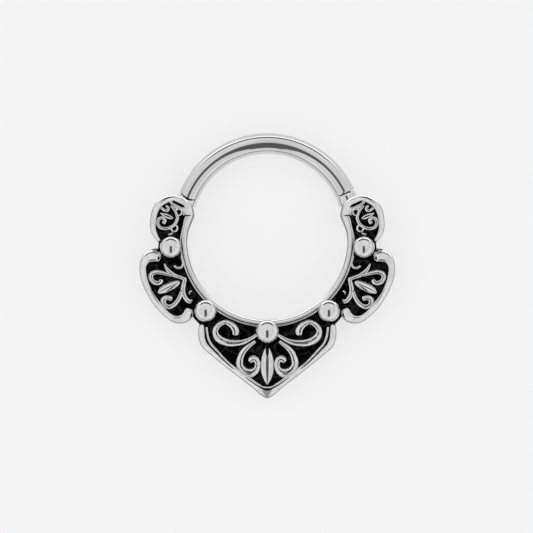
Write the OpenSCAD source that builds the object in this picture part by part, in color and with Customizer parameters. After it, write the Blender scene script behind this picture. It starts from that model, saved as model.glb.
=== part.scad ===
// Hinged clicker ring for body jewellery: an ornate cast front and a plain wire bar that swings open.
// Millimetres. The ring lies flat on its back: +Z is the ornate front, +Y points to the bar.
// The origin is below the middle of the ring, on the plane that it rests on.

/* [Bar] */
// Wire diameter of the bar, 16 gauge
wire_d = 1.25; // [1.2:0.01:1.3]
// Radius of the bar's centreline
bar_r = 5.13; // [5.1:0.01:5.16]
// Distance of the bar's centre above the middle of the ring
bar_up = 2.23; // [2.2:0.01:2.26]
// Height of the wire's centre above the flat back
wire_up = 0.85; // [0.8:0.01:0.9]
// Angle of the straight seam at the catch, from +X
catch_angle = 24; // [23:0.5:25]
// Angle of the hinge pin, from +X
hinge_angle = 147.6; // [147:0.1:149]
// Angle at which the wire stubs end inside the cast front, from the horizontal
stub_angle = 16.5; // [15:0.5:17]

/* [Hinge and catch] */
// Radius of the rounded seat that the bar's end turns in
seat_r = 1.0; // [0.95:0.01:1.05]
// Free space between the bar and the cast front
gap = 0.05; // [0.04:0.01:0.06]
// Thickness of the hinge tongue and of the catch tongue
tongue_t = 0.34; // [0.3:0.01:0.4]
// Radius of the hinge tongue's round end
tongue_r = 0.5; // [0.45:0.01:0.52]
// Radius of the hinge pin
pin_r = 0.25; // [0.22:0.01:0.26]
// Radial clearance of the pin in the tongue
pin_run = 0.03; // [0.02:0.01:0.05]
// Radial clearance of the pin in the bar's two ears
pin_seat = 0.01; // [0.01:0.005:0.02]
// Length of the catch tongue
catch_l = 0.32; // [0.28:0.01:0.34]
// Width of the catch tongue
catch_w = 0.7; // [0.6:0.05:0.8]

/* [Cast front] */
// Thickness of the plate up to the blackened field
field = 1.1; // [1:0.05:1.2]
// Height of the outer rims
rim_top = 1.72; // [1.65:0.01:1.8]
// Height of the rim round the hole
inner_top = 1.6; // [1.55:0.01:1.65]
// Height of the scrolls
scroll_top = 1.54; // [1.45:0.01:1.6]
// Height of the stems
stem_top = 1.48; // [1.4:0.01:1.5]
// Height of the leaves
leaf_top = 1.51; // [1.4:0.01:1.55]
// Height of the fine lines
line_top = 1.3; // [1.25:0.01:1.4]
// Radius of the five balls
ball_r = 0.68; // [0.64:0.01:0.7]
// Height of the balls' centres
ball_up = 1.32; // [1.25:0.01:1.35]
// Radius of the round hole's wall
hole_r = 4.82; // [4.8:0.01:4.85]
// Distance of the round hole's centre above the middle of the ring
hole_up = 1.57; // [1.55:0.01:1.6]
// Width of the rim round the hole
inner_w = 0.28; // [0.26:0.01:0.32]

/* [Hidden] */

wire_r = wire_d / 2;
// Place of the hinge pin
hinge_at = [bar_r * cos(hinge_angle), bar_up + bar_r * sin(hinge_angle)];
// Width of the slots that the two tongues lie in
fork_gap = tongue_t + 2 * gap;
// Free space past a tongue's end
end_gap = 1.2 * gap;
// Angle that the gap takes up at the catch
seam_turn = asin(gap / bar_r);
// Angle at which the wire of the hinge stub ends, well inside the seat's circle
seat_edge = 154;
// Angle that the bar's wire runs on past the pin before its end is rounded
past_pin = 16;
// Lean of the hinge tongue's neck, which follows the bend of the wire
neck_lean = 5;
// Half the width of that neck, and the depth that it is rooted in the stub
neck_w = 0.96 * tongue_r;
neck_root = 0.3;
// Top of the pin's blind hole, and the pin's lower end, just inside the wire
blind_top = wire_up + 0.48;
pin_bottom = wire_up - 0.56;
// Depth that each raised line is rooted below the field
root = 0.15;
// Lines that cross differ by this much in height
level = 0.01;
// Pieces of curve between two rows of a table
steps = 2;
// Angles of the stations that round a line's end off
end_turns = [75, 40];
// Stretches of the rim along the lower quarter of the hole, and where that quarter starts
hole_parts = 10;
hole_start = -4;
round_fn = 64;

// Cross sections of a raised line, from its left foot over its top to its right foot.
// Columns: place across the width from -1 to 1, part of the rise above the field.
domed = [[-1, 0.3], [-0.7, 0.8], [0, 1], [0.7, 0.8], [1, 0.3]];
ridged = [[-1, 0.35], [-0.45, 1], [0.45, 1], [1, 0.35]];
veined = [[-1, 0.3], [-0.45, 1], [0, 0.6], [0.45, 1], [1, 0.3]];

// Raised lines on the right half. The left half mirrors them.
// Columns: distance across from the middle, distance up, width.

// Outer rims: one round each lobe, and one down the pendant to its point
upper_rim = [
    [4.68, 3.31, 0.54], [4.83, 3.63, 0.52], [5.15, 3.91, 0.37], [5.60, 4.06, 0.36],
    [6.11, 3.96, 0.42], [6.53, 3.67, 0.42], [6.76, 3.23, 0.39], [6.86, 2.72, 0.37],
    [6.86, 2.21, 0.34], [6.70, 1.79, 0.28], [6.52, 1.54, 0.21]];
middle_rim = [
    [6.62, 0.51, 0.56], [6.89, 0.57, 0.61], [7.16, 0.51, 0.55], [7.36, 0.31, 0.47],
    [7.47, -0.01, 0.42], [7.47, -0.37, 0.41], [7.39, -0.82, 0.40], [7.21, -1.30, 0.38],
    [6.97, -1.78, 0.38], [6.62, -2.29, 0.41], [6.23, -2.74, 0.38], [5.84, -3.08, 0.38],
    [5.39, -3.25, 0.47], [5.00, -3.17, 0.56], [4.74, -2.94, 0.58], [4.69, -2.73, 0.52]];
pendant_rim = [
    [3.96, -3.64, 0.30], [3.98, -4.00, 0.36], [3.93, -4.42, 0.37], [3.76, -4.80, 0.37],
    [3.33, -5.18, 0.37], [2.73, -5.67, 0.37], [1.83, -6.38, 0.38], [0.89, -7.07, 0.48],
    [0.28, -7.54, 0.50], [0, -7.72, 0.54]];

// Rim round the hole, above the stretch that follows the round hole
inner_rim = [
    [4.76, 2.69, 0.46], [4.84, 2.38, 0.43], [4.93, 2.03, 0.38], [4.96, 1.62, 0.32]];

// Scrolls, each from its eye to its root
upper_low_scroll = [
    [6.22, 2.57, 0.22], [6.14, 2.73, 0.19], [6.30, 2.88, 0.18], [6.51, 2.80, 0.19],
    [6.58, 2.55, 0.19], [6.43, 2.31, 0.18], [6.13, 2.23, 0.18], [5.84, 2.30, 0.18],
    [5.54, 2.51, 0.18], [5.37, 2.87, 0.18], [5.42, 3.14, 0.17], [5.59, 3.38, 0.17],
    [5.83, 3.61, 0.18]];
upper_high_scroll = [
    [6.07, 3.60, 0.12], [5.94, 3.49, 0.16], [5.98, 3.33, 0.16], [6.16, 3.33, 0.15],
    [6.36, 3.48, 0.16]];
middle_high_scroll = [
    [6.36, -0.86, 0.22], [6.43, -0.99, 0.24], [6.63, -1.03, 0.26], [6.87, -0.93, 0.27],
    [6.99, -0.69, 0.27], [6.93, -0.48, 0.26], [6.70, -0.38, 0.25], [6.41, -0.39, 0.23],
    [6.08, -0.47, 0.19], [5.72, -0.56, 0.16]];
middle_low_scroll = [
    [5.77, -1.97, 0.27], [5.98, -1.91, 0.27], [6.21, -2.00, 0.31], [6.25, -2.23, 0.33],
    [6.08, -2.42, 0.28], [5.81, -2.45, 0.26], [5.54, -2.29, 0.24], [5.30, -1.97, 0.23],
    [5.14, -1.57, 0.22]];
pendant_big_scroll = [
    [1.88, -4.05, 0.36], [1.90, -3.85, 0.40], [2.10, -3.59, 0.38], [2.51, -3.40, 0.32],
    [2.89, -3.59, 0.36], [3.07, -3.94, 0.43], [2.95, -4.33, 0.42], [2.48, -4.62, 0.36],
    [1.88, -4.67, 0.33], [1.40, -4.59, 0.30], [0.98, -4.38, 0.24], [0.62, -4.12, 0.15]];
pendant_small_scroll = [
    [1.06, -5.70, 0.30], [0.85, -5.51, 0.30], [0.62, -5.69, 0.30], [0.57, -6.01, 0.30],
    [0.73, -6.35, 0.40], [1.07, -6.48, 0.50], [1.46, -6.34, 0.46], [1.66, -5.98, 0.42],
    [1.64, -5.58, 0.37], [1.46, -5.18, 0.30], [1.16, -4.86, 0.24], [0.74, -4.54, 0.15]];

// Stems and the band over the upper ring
middle_high_stem = [
    [6.16, 0.06, 0.10], [6.02, -0.19, 0.16], [5.81, -0.42, 0.24], [5.51, -0.59, 0.20],
    [5.21, -0.69, 0.16], [4.94, -0.80, 0.20]];
middle_low_stem = [
    [4.94, -0.80, 0.20], [5.02, -1.15, 0.24], [5.06, -1.51, 0.26], [4.96, -1.85, 0.25],
    [4.78, -2.09, 0.24], [4.58, -2.17, 0.18]];
upper_band = [
    [5.77, 3.84, 0.18], [5.48, 3.61, 0.18], [5.18, 3.42, 0.19], [5.02, 3.19, 0.20],
    [5.14, 3.05, 0.15]];

// Leaves, each from tip to tip
upper_leaf = [
    [6.42, 3.17, 0.03], [6.20, 3.06, 0.22], [5.96, 2.97, 0.27], [5.75, 2.88, 0.19],
    [5.64, 2.85, 0.03]];
middle_leaf = [
    [6.53, -1.63, 0.04], [6.36, -1.47, 0.36], [6.06, -1.33, 0.52], [5.67, -1.21, 0.46],
    [5.42, -1.09, 0.28], [5.26, -0.98, 0.04]];
pendant_leaf = [
    [0, -4.75, 0.05], [0, -5.05, 0.36], [0, -5.55, 0.66], [0, -6.00, 0.76],
    [0, -6.50, 0.64], [0, -6.90, 0.34], [0, -7.13, 0.05]];

// Fine lines
pendant_line = [
    [3.66, -3.70, 0.16], [3.61, -4.06, 0.18], [3.48, -4.45, 0.18], [3.24, -4.85, 0.18],
    [2.88, -5.27, 0.18], [2.46, -5.66, 0.18], [1.94, -6.12, 0.18]];
point_line = [
    [1.28, -6.65, 0.16], [0.92, -6.95, 0.17], [0.50, -7.21, 0.17], [0, -7.33, 0.17]];
high_hook = [
    [5.21, 0.47, 0.10], [5.14, 0.20, 0.12], [5.24, -0.03, 0.13], [5.44, -0.11, 0.13],
    [5.56, -0.01, 0.15]];
low_hook = [
    [4.19, -1.99, 0.10], [4.47, -1.95, 0.12], [4.68, -1.80, 0.12], [4.70, -1.61, 0.14],
    [4.57, -1.53, 0.14]];
upper_bud = [
    [5.94, 1.87, 0.06], [5.81, 1.91, 0.14], [5.66, 1.97, 0.06]];

// Small rings in the upper lobes. Columns: distance across, distance up, radius.
small_rings = [[5.31, 3.24, 0.25], [5.58, 2.26, 0.24]];

// Balls on each side. Columns: distance across, distance up.
side_balls = [[5.78, 1.11], [3.68, -2.71]];
middle_ball = [0, -3.96];

// Corner of the plate between the middle lobe and the pendant
plate_corner = [4.35, -3.22];

// Rows in the opposite order
function backwards(rows) = [for (i = [len(rows) - 1 : -1 : 0]) rows[i]];

// The rows of a line that starts on the right and ends on the middle, carried on to the left
function both_sides(rows) = concat(rows, [
    for (i = [len(rows) - 2 : -1 : 0]) [-rows[i].x, rows[i].y, rows[i].z]]);

// A point of the smooth curve between rows b and c
function between(a, b, c, d, t) =
    0.5 * (2 * b + (c - a) * t + (2 * a - 5 * b + 4 * c - d) * t * t
    + (3 * b - a - 3 * c + d) * t * t * t);

// The smooth curve through all rows
function smooth(rows) = [
    for (i = [0 : len(rows) - 2], s = [0 : steps - 1])
        between(rows[max(i - 1, 0)], rows[i], rows[i + 1],
            rows[min(i + 2, len(rows) - 1)], s / steps),
    rows[len(rows) - 1]];

function heading(path, i) =
    let (d = path[min(i + 1, len(path) - 1)] - path[max(i - 1, 0)])
    [d.x, d.y] / norm([d.x, d.y]);

// Stations of a line with round ends: place, heading, half width, part of the full rise
function stations(path, turns = end_turns) =
    let (last = len(path) - 1, first_d = heading(path, 0), last_d = heading(path, last))
    concat(
        [for (q = turns)
            [[path[0].x, path[0].y] - first_d * path[0].z / 2 * sin(q), first_d,
            path[0].z / 2 * cos(q), sqrt(cos(q))]],
        [for (i = [0 : last]) [[path[i].x, path[i].y], heading(path, i), path[i].z / 2, 1]],
        [for (q = backwards(turns))
            [[path[last].x, path[last].y] + last_d * path[last].z / 2 * sin(q), last_d,
            path[last].z / 2 * cos(q), sqrt(cos(q))]]);

// One raised line: its section swept along the smooth curve through its rows
module raised(rows, top, section, low = field - root) {
    line = stations(smooth(rows));
    sides = len(section) + 2;
    rings = len(line);
    points = [
        for (s = line, k = [0 : sides - 1])
            let (foot = k == 0 || k == sides - 1, row = section[k - 1],
                across = k == 0 ? -1 : k == sides - 1 ? 1 : row.x,
                aside = [s[1].y, -s[1].x] * across * s[2])
            [s[0].x + aside.x, s[0].y + aside.y,
                foot ? low : field + (top - field) * row.y * s[3]]];
    walls = [
        for (i = [0 : rings - 2], k = [0 : sides - 1])
            let (a = i * sides + k, b = i * sides + (k + 1) % sides)
            each [[a, b + sides, b], [a, a + sides, b + sides]]];
    first_cap = [for (k = [0 : sides - 1]) k];
    last_cap = [for (k = [sides - 1 : -1 : 0]) (rings - 1) * sides + k];
    polyhedron(points, concat([first_cap], walls, [last_cap]));
}

// A stretch of the bar's round wire between two angles about the bar's centre
module wire_arc(from, to) {
    translate([0, bar_up, wire_up])
    rotate([0, 0, from])
    rotate_extrude(angle = to - from, $fn = 2 * round_fn)
    translate([bar_r, 0])
    circle(r = wire_r, $fn = round_fn);
}

// A flat tongue or slot in the wire at an angle, reaching back and on along the wire
module flat_block(angle, wide, thick, back, on) {
    translate([bar_r * cos(angle), bar_up + bar_r * sin(angle), wire_up])
    rotate([0, 0, angle])
    translate([-wide / 2, -back, -thick / 2])
    cube([wide, back + on, thick]);
}

// The arc of the rim round the hole, from the right of the hole to its bottom
hole_arc = [
    for (i = [0 : hole_parts])
        let (a = hole_start - (90 + hole_start) * i / hole_parts, r = hole_r + inner_w / 2)
        [r * cos(a), hole_up + r * sin(a), inner_w]];
hole_rim = both_sides(concat(inner_rim, hole_arc));

module plate() {
    right = [for (p = concat(backwards(smooth(pendant_rim)), [plate_corner],
        backwards(smooth(middle_rim)), backwards(smooth(upper_rim)))) [p.x, p.y]];
    left = [for (p = backwards(right)) [-p.x, p.y]];
    hole = [for (p = smooth(hole_rim)) [p.x, p.y]];
    linear_extrude(field)
    polygon(concat(right, hole, [for (i = [0 : len(left) - 2]) left[i]]));
}

module small_ring(x, y, r) {
    translate([x, y, field - root])
    rotate_extrude($fn = round_fn)
    polygon([[0.45 * r, 0], [0.45 * r, 0.4], [0.7 * r, 0.47], [r, 0.38], [r, 0]]);
}

module lobes() {
    raised(upper_rim, rim_top, domed, 0);
    raised(middle_rim, rim_top - 2 * level, domed, 0);
    raised(upper_low_scroll, scroll_top, ridged);
    raised(upper_high_scroll, scroll_top - level, ridged);
    raised(middle_high_scroll, scroll_top, ridged);
    raised(middle_low_scroll, scroll_top, ridged);
    raised(middle_high_stem, stem_top, ridged);
    raised(middle_low_stem, stem_top - level, ridged);
    raised(upper_band, stem_top, ridged);
    raised(upper_leaf, leaf_top, veined);
    raised(middle_leaf, leaf_top, veined);
    raised(upper_bud, line_top, ridged);
    raised(high_hook, line_top, ridged);
    raised(low_hook, line_top, ridged);
    for (r = small_rings) small_ring(r.x, r.y, r.z);
}

module pendant_side() {
    raised(pendant_rim, inner_top + 2 * level, domed, 0);
    raised(pendant_line, inner_top - 5 * level, ridged);
    raised(pendant_big_scroll, scroll_top + 2 * level, ridged);
    raised(pendant_small_scroll, scroll_top + 3 * level, ridged);
}

module balls() {
    for (side = [-1, 1], b = side_balls)
        translate([side * b.x, b.y, ball_up])
        sphere(r = ball_r, $fn = round_fn);
    translate([middle_ball.x, middle_ball.y, ball_up])
    sphere(r = ball_r, $fn = round_fn);
}

// Stub with the hinge seat, and the drilled tongue that stands up into the bar
module hinge_stub() {
    difference() {
        wire_arc(180 - stub_angle, seat_edge);
        translate([hinge_at.x, hinge_at.y, 0])
        cylinder(r = seat_r + gap, h = 2 * wire_up, $fn = round_fn);
    }
    difference() {
        union() {
            translate([hinge_at.x, hinge_at.y, wire_up - tongue_t / 2])
            cylinder(r = tongue_r, h = tongue_t, $fn = round_fn);
            translate([hinge_at.x, hinge_at.y, wire_up - tongue_t / 2])
            rotate([0, 0, hinge_angle + neck_lean])
            translate([-neck_w, 0, 0])
            cube([2 * neck_w, seat_r + neck_root, tongue_t]);
        }
        translate([hinge_at.x, hinge_at.y, 0])
        cylinder(r = pin_r + pin_run, h = 2 * wire_up, $fn = round_fn);
    }
}

module catch_stub() {
    difference() {
        wire_arc(stub_angle, catch_angle);
        flat_block(catch_angle, 2 * wire_d, fork_gap, catch_l + end_gap, wire_d);
    }
}

module cast_front() {
    color("silver") {
        plate();
        raised(hole_rim, inner_top, domed, 0);
        raised(both_sides(point_line), inner_top - 6 * level, ridged);
        raised(pendant_leaf, leaf_top + 5 * level, veined);
        for (side = [0, 1]) mirror([side, 0, 0]) {
            lobes();
            pendant_side();
        }
        balls();
        hinge_stub();
        catch_stub();
    }
}

// The round end of the bar: what is cut away beyond the hinge, outside the seat's circle
module beyond_hinge() {
    difference() {
        translate([hinge_at.x, hinge_at.y, -wire_up])
        rotate([0, 0, hinge_angle])
        translate([-2 * wire_d, 0, 0])
        cube([4 * wire_d, 4 * wire_d, 4 * wire_up]);
        translate([hinge_at.x, hinge_at.y, -2 * wire_up])
        cylinder(r = seat_r, h = 6 * wire_up, $fn = round_fn);
    }
}

module hinged_bar() {
    color("gainsboro")
    difference() {
        union() {
            wire_arc(catch_angle + seam_turn, hinge_angle + past_pin);
            flat_block(catch_angle, catch_w, tongue_t, catch_l, wire_r);
        }
        beyond_hinge();
        flat_block(hinge_angle, 2 * wire_d, fork_gap, tongue_r + end_gap, 2 * wire_d);
        translate([hinge_at.x, hinge_at.y, -wire_up])
        cylinder(r = pin_r + pin_seat, h = wire_up + blind_top, $fn = round_fn);
    }
}

module hinge_pin() {
    color("lightgray")
    translate([hinge_at.x, hinge_at.y, pin_bottom])
    cylinder(r = pin_r, h = blind_top - gap - pin_bottom, $fn = round_fn);
}

cast_front();
hinged_bar();
hinge_pin();
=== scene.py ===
# %% [markdown]
# A hinged clicker ring, dressed around its measured model.
# The ring is cast and polished steel, 16 mm high, and it lies flat on its back with its ornate
# front up. Its parts are the cast front, the round wire bar that swings open, and the hinge pin.
# This lesson builds each of them finer than the measured model, at the same places and sizes,
# then gives them their finishes and lights them as in a photographer's white tent.

import math

import bmesh
import bpy
from mathutils import Matrix, Vector


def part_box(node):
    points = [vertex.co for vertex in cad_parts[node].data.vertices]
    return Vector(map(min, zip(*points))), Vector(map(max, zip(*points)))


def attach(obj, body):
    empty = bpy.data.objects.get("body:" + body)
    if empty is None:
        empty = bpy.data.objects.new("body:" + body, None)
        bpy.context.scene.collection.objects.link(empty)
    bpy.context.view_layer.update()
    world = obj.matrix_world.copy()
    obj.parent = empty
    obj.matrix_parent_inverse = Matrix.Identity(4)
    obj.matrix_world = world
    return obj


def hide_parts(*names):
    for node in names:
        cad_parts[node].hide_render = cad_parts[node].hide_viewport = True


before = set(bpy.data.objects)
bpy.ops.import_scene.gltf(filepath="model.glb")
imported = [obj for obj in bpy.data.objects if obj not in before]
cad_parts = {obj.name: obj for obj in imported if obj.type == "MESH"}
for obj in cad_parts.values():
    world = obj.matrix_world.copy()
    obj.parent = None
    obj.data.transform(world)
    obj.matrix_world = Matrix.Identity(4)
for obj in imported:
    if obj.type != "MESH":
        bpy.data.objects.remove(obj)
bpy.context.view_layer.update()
print("nodes:", sorted(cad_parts))

# %% [markdown]
# All sizes below are in millimetres, as a jeweller gives them, and one factor turns them into
# the metres that the scene uses. The first ones are the ring's driving sizes. They are those of
# the measured model, so that each finer piece sits where the model has it. Angles are in
# degrees, from the right-hand side of the ring.

# %% Sizes of the ring
MM = 0.001            # a millimetre in metres
FIELD = 1.10          # thickness of the plate up to the blackened field
ROOT = 0.15           # how deep a raised line is rooted below the field
HOLE_R = 4.82         # radius of the round hole
HOLE_UP = 1.57        # distance of the hole's centre above the middle of the ring
HOLE_RIM_W = 0.28     # width of the rim round the hole
WIRE_R = 0.625        # radius of the bar's wire, 16 gauge
BAR_R = 5.13          # radius of the bar's centreline
BAR_UP = 2.23         # distance of the bar's centre above the middle of the ring
WIRE_UP = 0.85        # height of the wire's centre above the back
CATCH_ANGLE = 24.0    # angle of the straight seam at the catch
HINGE_ANGLE = 147.6   # angle of the hinge pin
STUB_ANGLE = 16.5     # angle at which the wire stubs end inside the cast front
GAP = 0.05            # free space between the bar and the cast front
SEAT_R = 1.0          # radius of the bar's rounded end
TONGUE_T = 0.34       # thickness of the two tongues
TONGUE_R = 0.5        # radius of the hinge tongue's round end
PIN_R = 0.25          # radius of the hinge pin

hinge_turn = math.radians(HINGE_ANGLE)
hinge_at = Vector((BAR_R * math.cos(hinge_turn), BAR_UP + BAR_R * math.sin(hinge_turn), 0))
print("hinge pin at", [round(c, 3) for c in hinge_at], "mm")

# %% [markdown]
# Ornament like this is modelled in wax, out of little rolled wires. It could be sculpted here,
# but lines are easier to mend: each line has a few rows, and a row says how far the line is from
# the middle, how far up, and how wide it is there. Only the right half is listed, because the
# left half mirrors it. The rims come first.

# %% Rims of the right half: across, up, width
UPPER_RIM = [
    (4.70, 3.27, .58), (4.82, 3.60, .58), (5.13, 3.90, .42), (5.60, 4.06, .37), (6.11, 3.96, .42),
    (6.53, 3.67, .42), (6.76, 3.23, .39), (6.86, 2.72, .37), (6.86, 2.21, .34), (6.70, 1.79, .28),
    (6.52, 1.54, .21)]
MIDDLE_RIM = [
    (6.61, .56, .60), (6.87, .61, .72), (7.14, .55, .68), (7.35, .33, .53), (7.47, -.01, .42),
    (7.47, -.37, .41), (7.39, -.82, .40), (7.21, -1.30, .38), (6.97, -1.78, .38),
    (6.62, -2.29, .41), (6.23, -2.74, .38), (5.86, -3.05, .38), (5.61, -3.19, .42),
    (5.33, -3.24, .48), (5.03, -3.18, .55), (4.80, -3.00, .60), (4.70, -2.76, .54)]
PENDANT_RIM = [
    (3.96, -3.64, .32), (3.97, -4.00, .40), (3.91, -4.42, .42), (3.74, -4.79, .42),
    (3.32, -5.17, .40), (2.73, -5.67, .38), (1.83, -6.38, .38), (.89, -7.07, .44),
    (.28, -7.53, .50), (0, -7.71, .52)]
HOLE_RIM_TOP = [
    (4.60, 3.14, .44), (4.65, 2.95, .50), (4.76, 2.69, .50), (4.85, 2.38, .43), (4.93, 2.03, .37),
    (4.96, 1.62, .32)]
PLATE_CORNER = (4.35, -3.22)   # the plate's edge between the middle rim and the pendant's
print("rows of the rims:", len(UPPER_RIM + MIDDLE_RIM + PENDANT_RIM + HOLE_RIM_TOP))

# %% [markdown]
# The upper lobe is filled by one long scroll and a short one, with a leaf between them. A flat
# band and a web below it join the scroll to the rim, and a bud stands above the bead.

# %% Lines of the upper lobe
UPPER_LOW_SCROLL = [
    (6.22, 2.57, .22), (6.14, 2.73, .19), (6.30, 2.88, .18), (6.51, 2.80, .19), (6.58, 2.55, .19),
    (6.43, 2.31, .18), (6.13, 2.23, .18), (5.84, 2.30, .18), (5.54, 2.51, .18), (5.39, 2.87, .18),
    (5.46, 3.14, .15), (5.58, 3.38, .15), (5.75, 3.61, .16)]
UPPER_HIGH_SCROLL = [
    (6.07, 3.60, .12), (5.94, 3.49, .16), (5.98, 3.33, .16), (6.16, 3.33, .15), (6.36, 3.48, .16)]
UPPER_BAND = [
    (5.80, 3.84, .18), (5.52, 3.66, .19), (5.25, 3.53, .17), (5.04, 3.39, .17), (4.95, 3.21, .17),
    (5.01, 3.06, .13)]
UPPER_WEB = [(5.74, 3.66, .16), (5.58, 3.51, .26), (5.42, 3.40, .18)]
UPPER_LEAF = [
    (6.42, 3.17, .03), (6.20, 3.06, .22), (5.96, 2.97, .27), (5.75, 2.88, .19), (5.64, 2.85, .03)]
UPPER_BUD = [(5.94, 1.87, .06), (5.81, 1.91, .14), (5.66, 1.97, .06)]
print("rows of the long scroll:", len(UPPER_LOW_SCROLL))

# %% [markdown]
# In the middle lobe two stems part from one corner, and each has a scroll. A leaf lies
# between them. Two little hooks stand beside the hole's rim, and a low shelf of the plate shows
# between this lobe and the upper one.

# %% Lines of the middle lobe
MIDDLE_HIGH_SCROLL = [
    (6.36, -.86, .22), (6.43, -.99, .24), (6.63, -1.03, .26), (6.87, -.93, .27), (6.99, -.69, .27),
    (6.93, -.48, .26), (6.70, -.38, .25), (6.41, -.39, .23), (6.08, -.47, .19), (5.72, -.56, .16)]
MIDDLE_LOW_SCROLL = [
    (5.77, -1.97, .27), (5.98, -1.91, .27), (6.21, -2.00, .31), (6.25, -2.23, .33),
    (6.08, -2.42, .28), (5.81, -2.45, .26), (5.54, -2.29, .24), (5.30, -1.97, .23),
    (5.14, -1.57, .22)]
MIDDLE_HIGH_STEM = [
    (6.17, .12, .07), (6.05, -.14, .16), (5.83, -.40, .25), (5.51, -.59, .21), (5.21, -.69, .18),
    (4.94, -.80, .21)]
MIDDLE_LOW_STEM = [
    (4.94, -.80, .21), (5.02, -1.15, .24), (5.06, -1.51, .26), (4.96, -1.85, .25),
    (4.78, -2.09, .24), (4.60, -2.19, .16)]
STEM_FORK = [(4.84, -1.98, .12), (4.66, -2.07, .12), (4.50, -2.06, .07)]
MIDDLE_LEAF = [
    (6.50, -1.60, .20), (6.36, -1.50, .42), (6.06, -1.34, .55), (5.70, -1.18, .52),
    (5.45, -1.06, .38), (5.32, -1.00, .24)]
HIGH_HOOK = [
    (5.18, .62, .04), (5.12, .38, .08), (5.06, .15, .10), (5.15, -.07, .13), (5.38, -.13, .13),
    (5.57, -.02, .14)]
LOW_HOOK = [(4.67, -1.72, .04), (4.68, -1.60, .08), (4.57, -1.51, .11)]
LOBE_SHELF = [(6.42, .90, .24), (6.62, .95, .22), (6.84, .96, .16), (7.02, .91, .10)]
print("rows of the two stems:", len(MIDDLE_HIGH_STEM + MIDDLE_LOW_STEM))

# %% [markdown]
# The pendant has a big scroll and a small one on each side of a broad leaf, and a fine line
# inside its rim. The leaf and the line at the point lie on the middle.

# %% Lines of the pendant
PENDANT_BIG_SCROLL = [
    (1.90, -4.05, .40), (1.91, -3.85, .44), (2.11, -3.57, .38), (2.51, -3.37, .28),
    (2.91, -3.55, .30), (3.13, -3.93, .35), (2.96, -4.34, .46), (2.48, -4.60, .44),
    (1.88, -4.64, .35), (1.40, -4.56, .29), (.98, -4.37, .22), (.62, -4.12, .15)]
PENDANT_SMALL_SCROLL = [
    (1.02, -5.70, .30), (.93, -5.60, .40), (.78, -5.56, .37), (.64, -5.69, .33),
    (.58, -5.95, .32), (.66, -6.22, .38), (.83, -6.39, .46), (1.08, -6.45, .52),
    (1.42, -6.34, .50), (1.65, -6.02, .44), (1.66, -5.70, .41), (1.57, -5.38, .35),
    (1.40, -5.10, .30), (1.14, -4.84, .25), (.74, -4.54, .16)]
PENDANT_LEAF = [
    (0, -4.86, .06), (0, -5.05, .40), (0, -5.50, .72), (0, -5.95, .86), (0, -6.45, .74),
    (0, -6.86, .42), (0, -7.13, .05)]
PENDANT_LINE = [
    (3.64, -3.70, .12), (3.62, -4.00, .13), (3.55, -4.34, .14), (3.40, -4.68, .14),
    (3.08, -5.05, .14), (2.60, -5.57, .13), (2.20, -5.95, .12), (1.93, -6.18, .10)]
POINT_LINE = [(1.28, -6.65, .11), (.92, -6.95, .12), (.50, -7.21, .13), (0, -7.33, .14)]
print("rows of the two scrolls:", len(PENDANT_BIG_SCROLL + PENDANT_SMALL_SCROLL))

# %% [markdown]
# A rolled wire of wax bends smoothly, so a line through its rows is a smooth curve: between two
# rows it leans on the rows before and after, and passes through every row without a corner. At
# both ends it is rounded off with a few extra stations that shrink to nothing, as a bead of wax
# does. A line may also be arched, so that it is highest halfway.

# %% The smooth curve through rows, and its stations
STEPS = 6                          # pieces of curve between two rows
END_TURNS = (84, 68, 52, 36, 18)   # angles of the stations that round an end


def smooth(rows):
    rows = [Vector(row) for row in rows]
    last = len(rows) - 1
    path = []
    for i in range(last):
        a, b, c, d = rows[max(i - 1, 0)], rows[i], rows[i + 1], rows[min(i + 2, last)]
        for s in range(STEPS):
            t = s / STEPS
            path.append(0.5 * (2 * b + (c - a) * t + (2 * a - 5 * b + 4 * c - d) * t ** 2
                               + (3 * b - a - 3 * c + d) * t ** 3))
    return path + [rows[last]]


def stations(rows, arch=0):
    """Place, heading, half width and part of the full height at each station along a line."""
    path = smooth(rows)
    last = len(path) - 1
    line = []
    for i, point in enumerate(path):
        way = path[min(i + 1, last)] - path[max(i - 1, 0)]
        way = Vector((way.x, way.y, 0)).normalized()
        line.append((Vector((point.x, point.y, 0)), way, point.z / 2,
                     1 - arch * (2 * i / last - 1) ** 2))
    turns = [math.radians(turn) for turn in END_TURNS]
    ends = []
    for (place, way, half, part), sign in ((line[0], -1), (line[-1], 1)):
        ends.append([(place + sign * way * half * math.sin(turn), way, half * math.cos(turn),
                      part * math.cos(turn) ** 0.5) for turn in turns])
    return ends[0] + line + ends[1][::-1]


def both_sides(rows):
    """A line that starts on the right and ends on the middle, carried on to the left."""
    return rows + [(-x, y, w) for x, y, w in rows[-2::-1]]


print("the big scroll has", len(stations(PENDANT_BIG_SCROLL)), "stations")

# %% [markdown]
# The cross section of a line decides how it catches the light. From above, polished metal
# mirrors what is overhead where it lies level, and the bright walls of the tent where it
# slopes. A plain half circle would do for the shape, but not for the light. So a section is a
# row of arcs, each from one tilt to another over a part of the width, with a tilt of about 50
# degrees at its edges, which mirrors the horizon. What lies in a hollow of the section keeps
# its blackening.

# %% A section from arcs
ARC_POINTS = 6       # points on each arc
HOLLOW = 0.02        # how deep a hollow must be to keep its blackening, in half widths
HOLLOW_STAIN = 0.7   # how much of the blackening it keeps


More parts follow.
